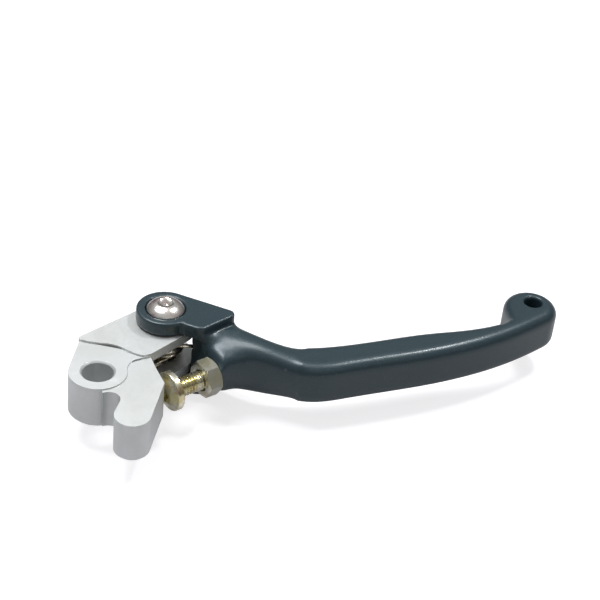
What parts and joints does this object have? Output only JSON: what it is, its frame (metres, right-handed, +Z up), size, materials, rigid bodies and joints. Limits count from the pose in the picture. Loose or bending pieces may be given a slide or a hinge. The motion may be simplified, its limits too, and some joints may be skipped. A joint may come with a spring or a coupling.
{
  "type": "folding brake lever",
  "caption": "Folding motorcycle brake lever: a mounting knuckle with a plunger nose, a hinged grip blade with a ball end, a return spring and a reach screw.",
  "frame": {"origin": "middle of the perch bore, on its axis and at mid-height", "axes": "+Z up along the perch bore; +X from the bore to the middle of the ball end; the handlebar and the rider are on the -Y side"},
  "size_m": [0.1572, 0.0536, 0.0293],
  "materials": {
    "knuckle_aluminium": "satin, machined",
    "blade_anodised": "satin slate blue with a fine sparkle",
    "bolt_steel": "bright",
    "bush_bronze": "turned",
    "spring_steel": "drawn wire",
    "zinc_steel": "zinc plated",
    "passivated_steel": "zinc plated, yellow passivated",
    "nylon": "moulded"
  },
  "bodies": {
    "knuckle": {"mounting_knuckle": "knuckle_aluminium", "torsion_spring": "spring_steel"},
    "blade": {"lever_blade": "blade_anodised", "pivot_bolt": "bolt_steel", "pivot_sleeve": "bush_bronze", "upper_thrust_washer": "bush_bronze", "lower_thrust_washer": "bush_bronze", "pivot_lock_nut": "zinc_steel", "pivot_nut_nylon_ring": "nylon"},
    "reach_screw": {"reach_adjuster_screw": "passivated_steel"},
    "lock_nut": {"adjuster_lock_nut": "zinc_steel"}
  },
  "joints": [
    {"name": "fold", "type": "hinge", "parent": "knuckle", "child": "blade", "pos_m": [0.0256, 0.0182, 0], "axis": [0, 0, 1], "range_deg": [0, 90], "stiffness_Nm_per_rad": 0.11, "springref_deg": -42.97, "deforming": ["torsion_spring"]},
    {"name": "reach_adjust", "type": "slide", "parent": "blade", "child": "reach_screw", "axis": [0.9636, 0.2672, 0], "range_m": [0, 0.004]},
    {"name": "lock_nut_spin", "type": "hinge", "parent": "blade", "child": "lock_nut", "pos_m": [0.03234, -0.00228, 0], "axis": [0.9636, 0.2672, 0], "continuous": true}
  ]
}
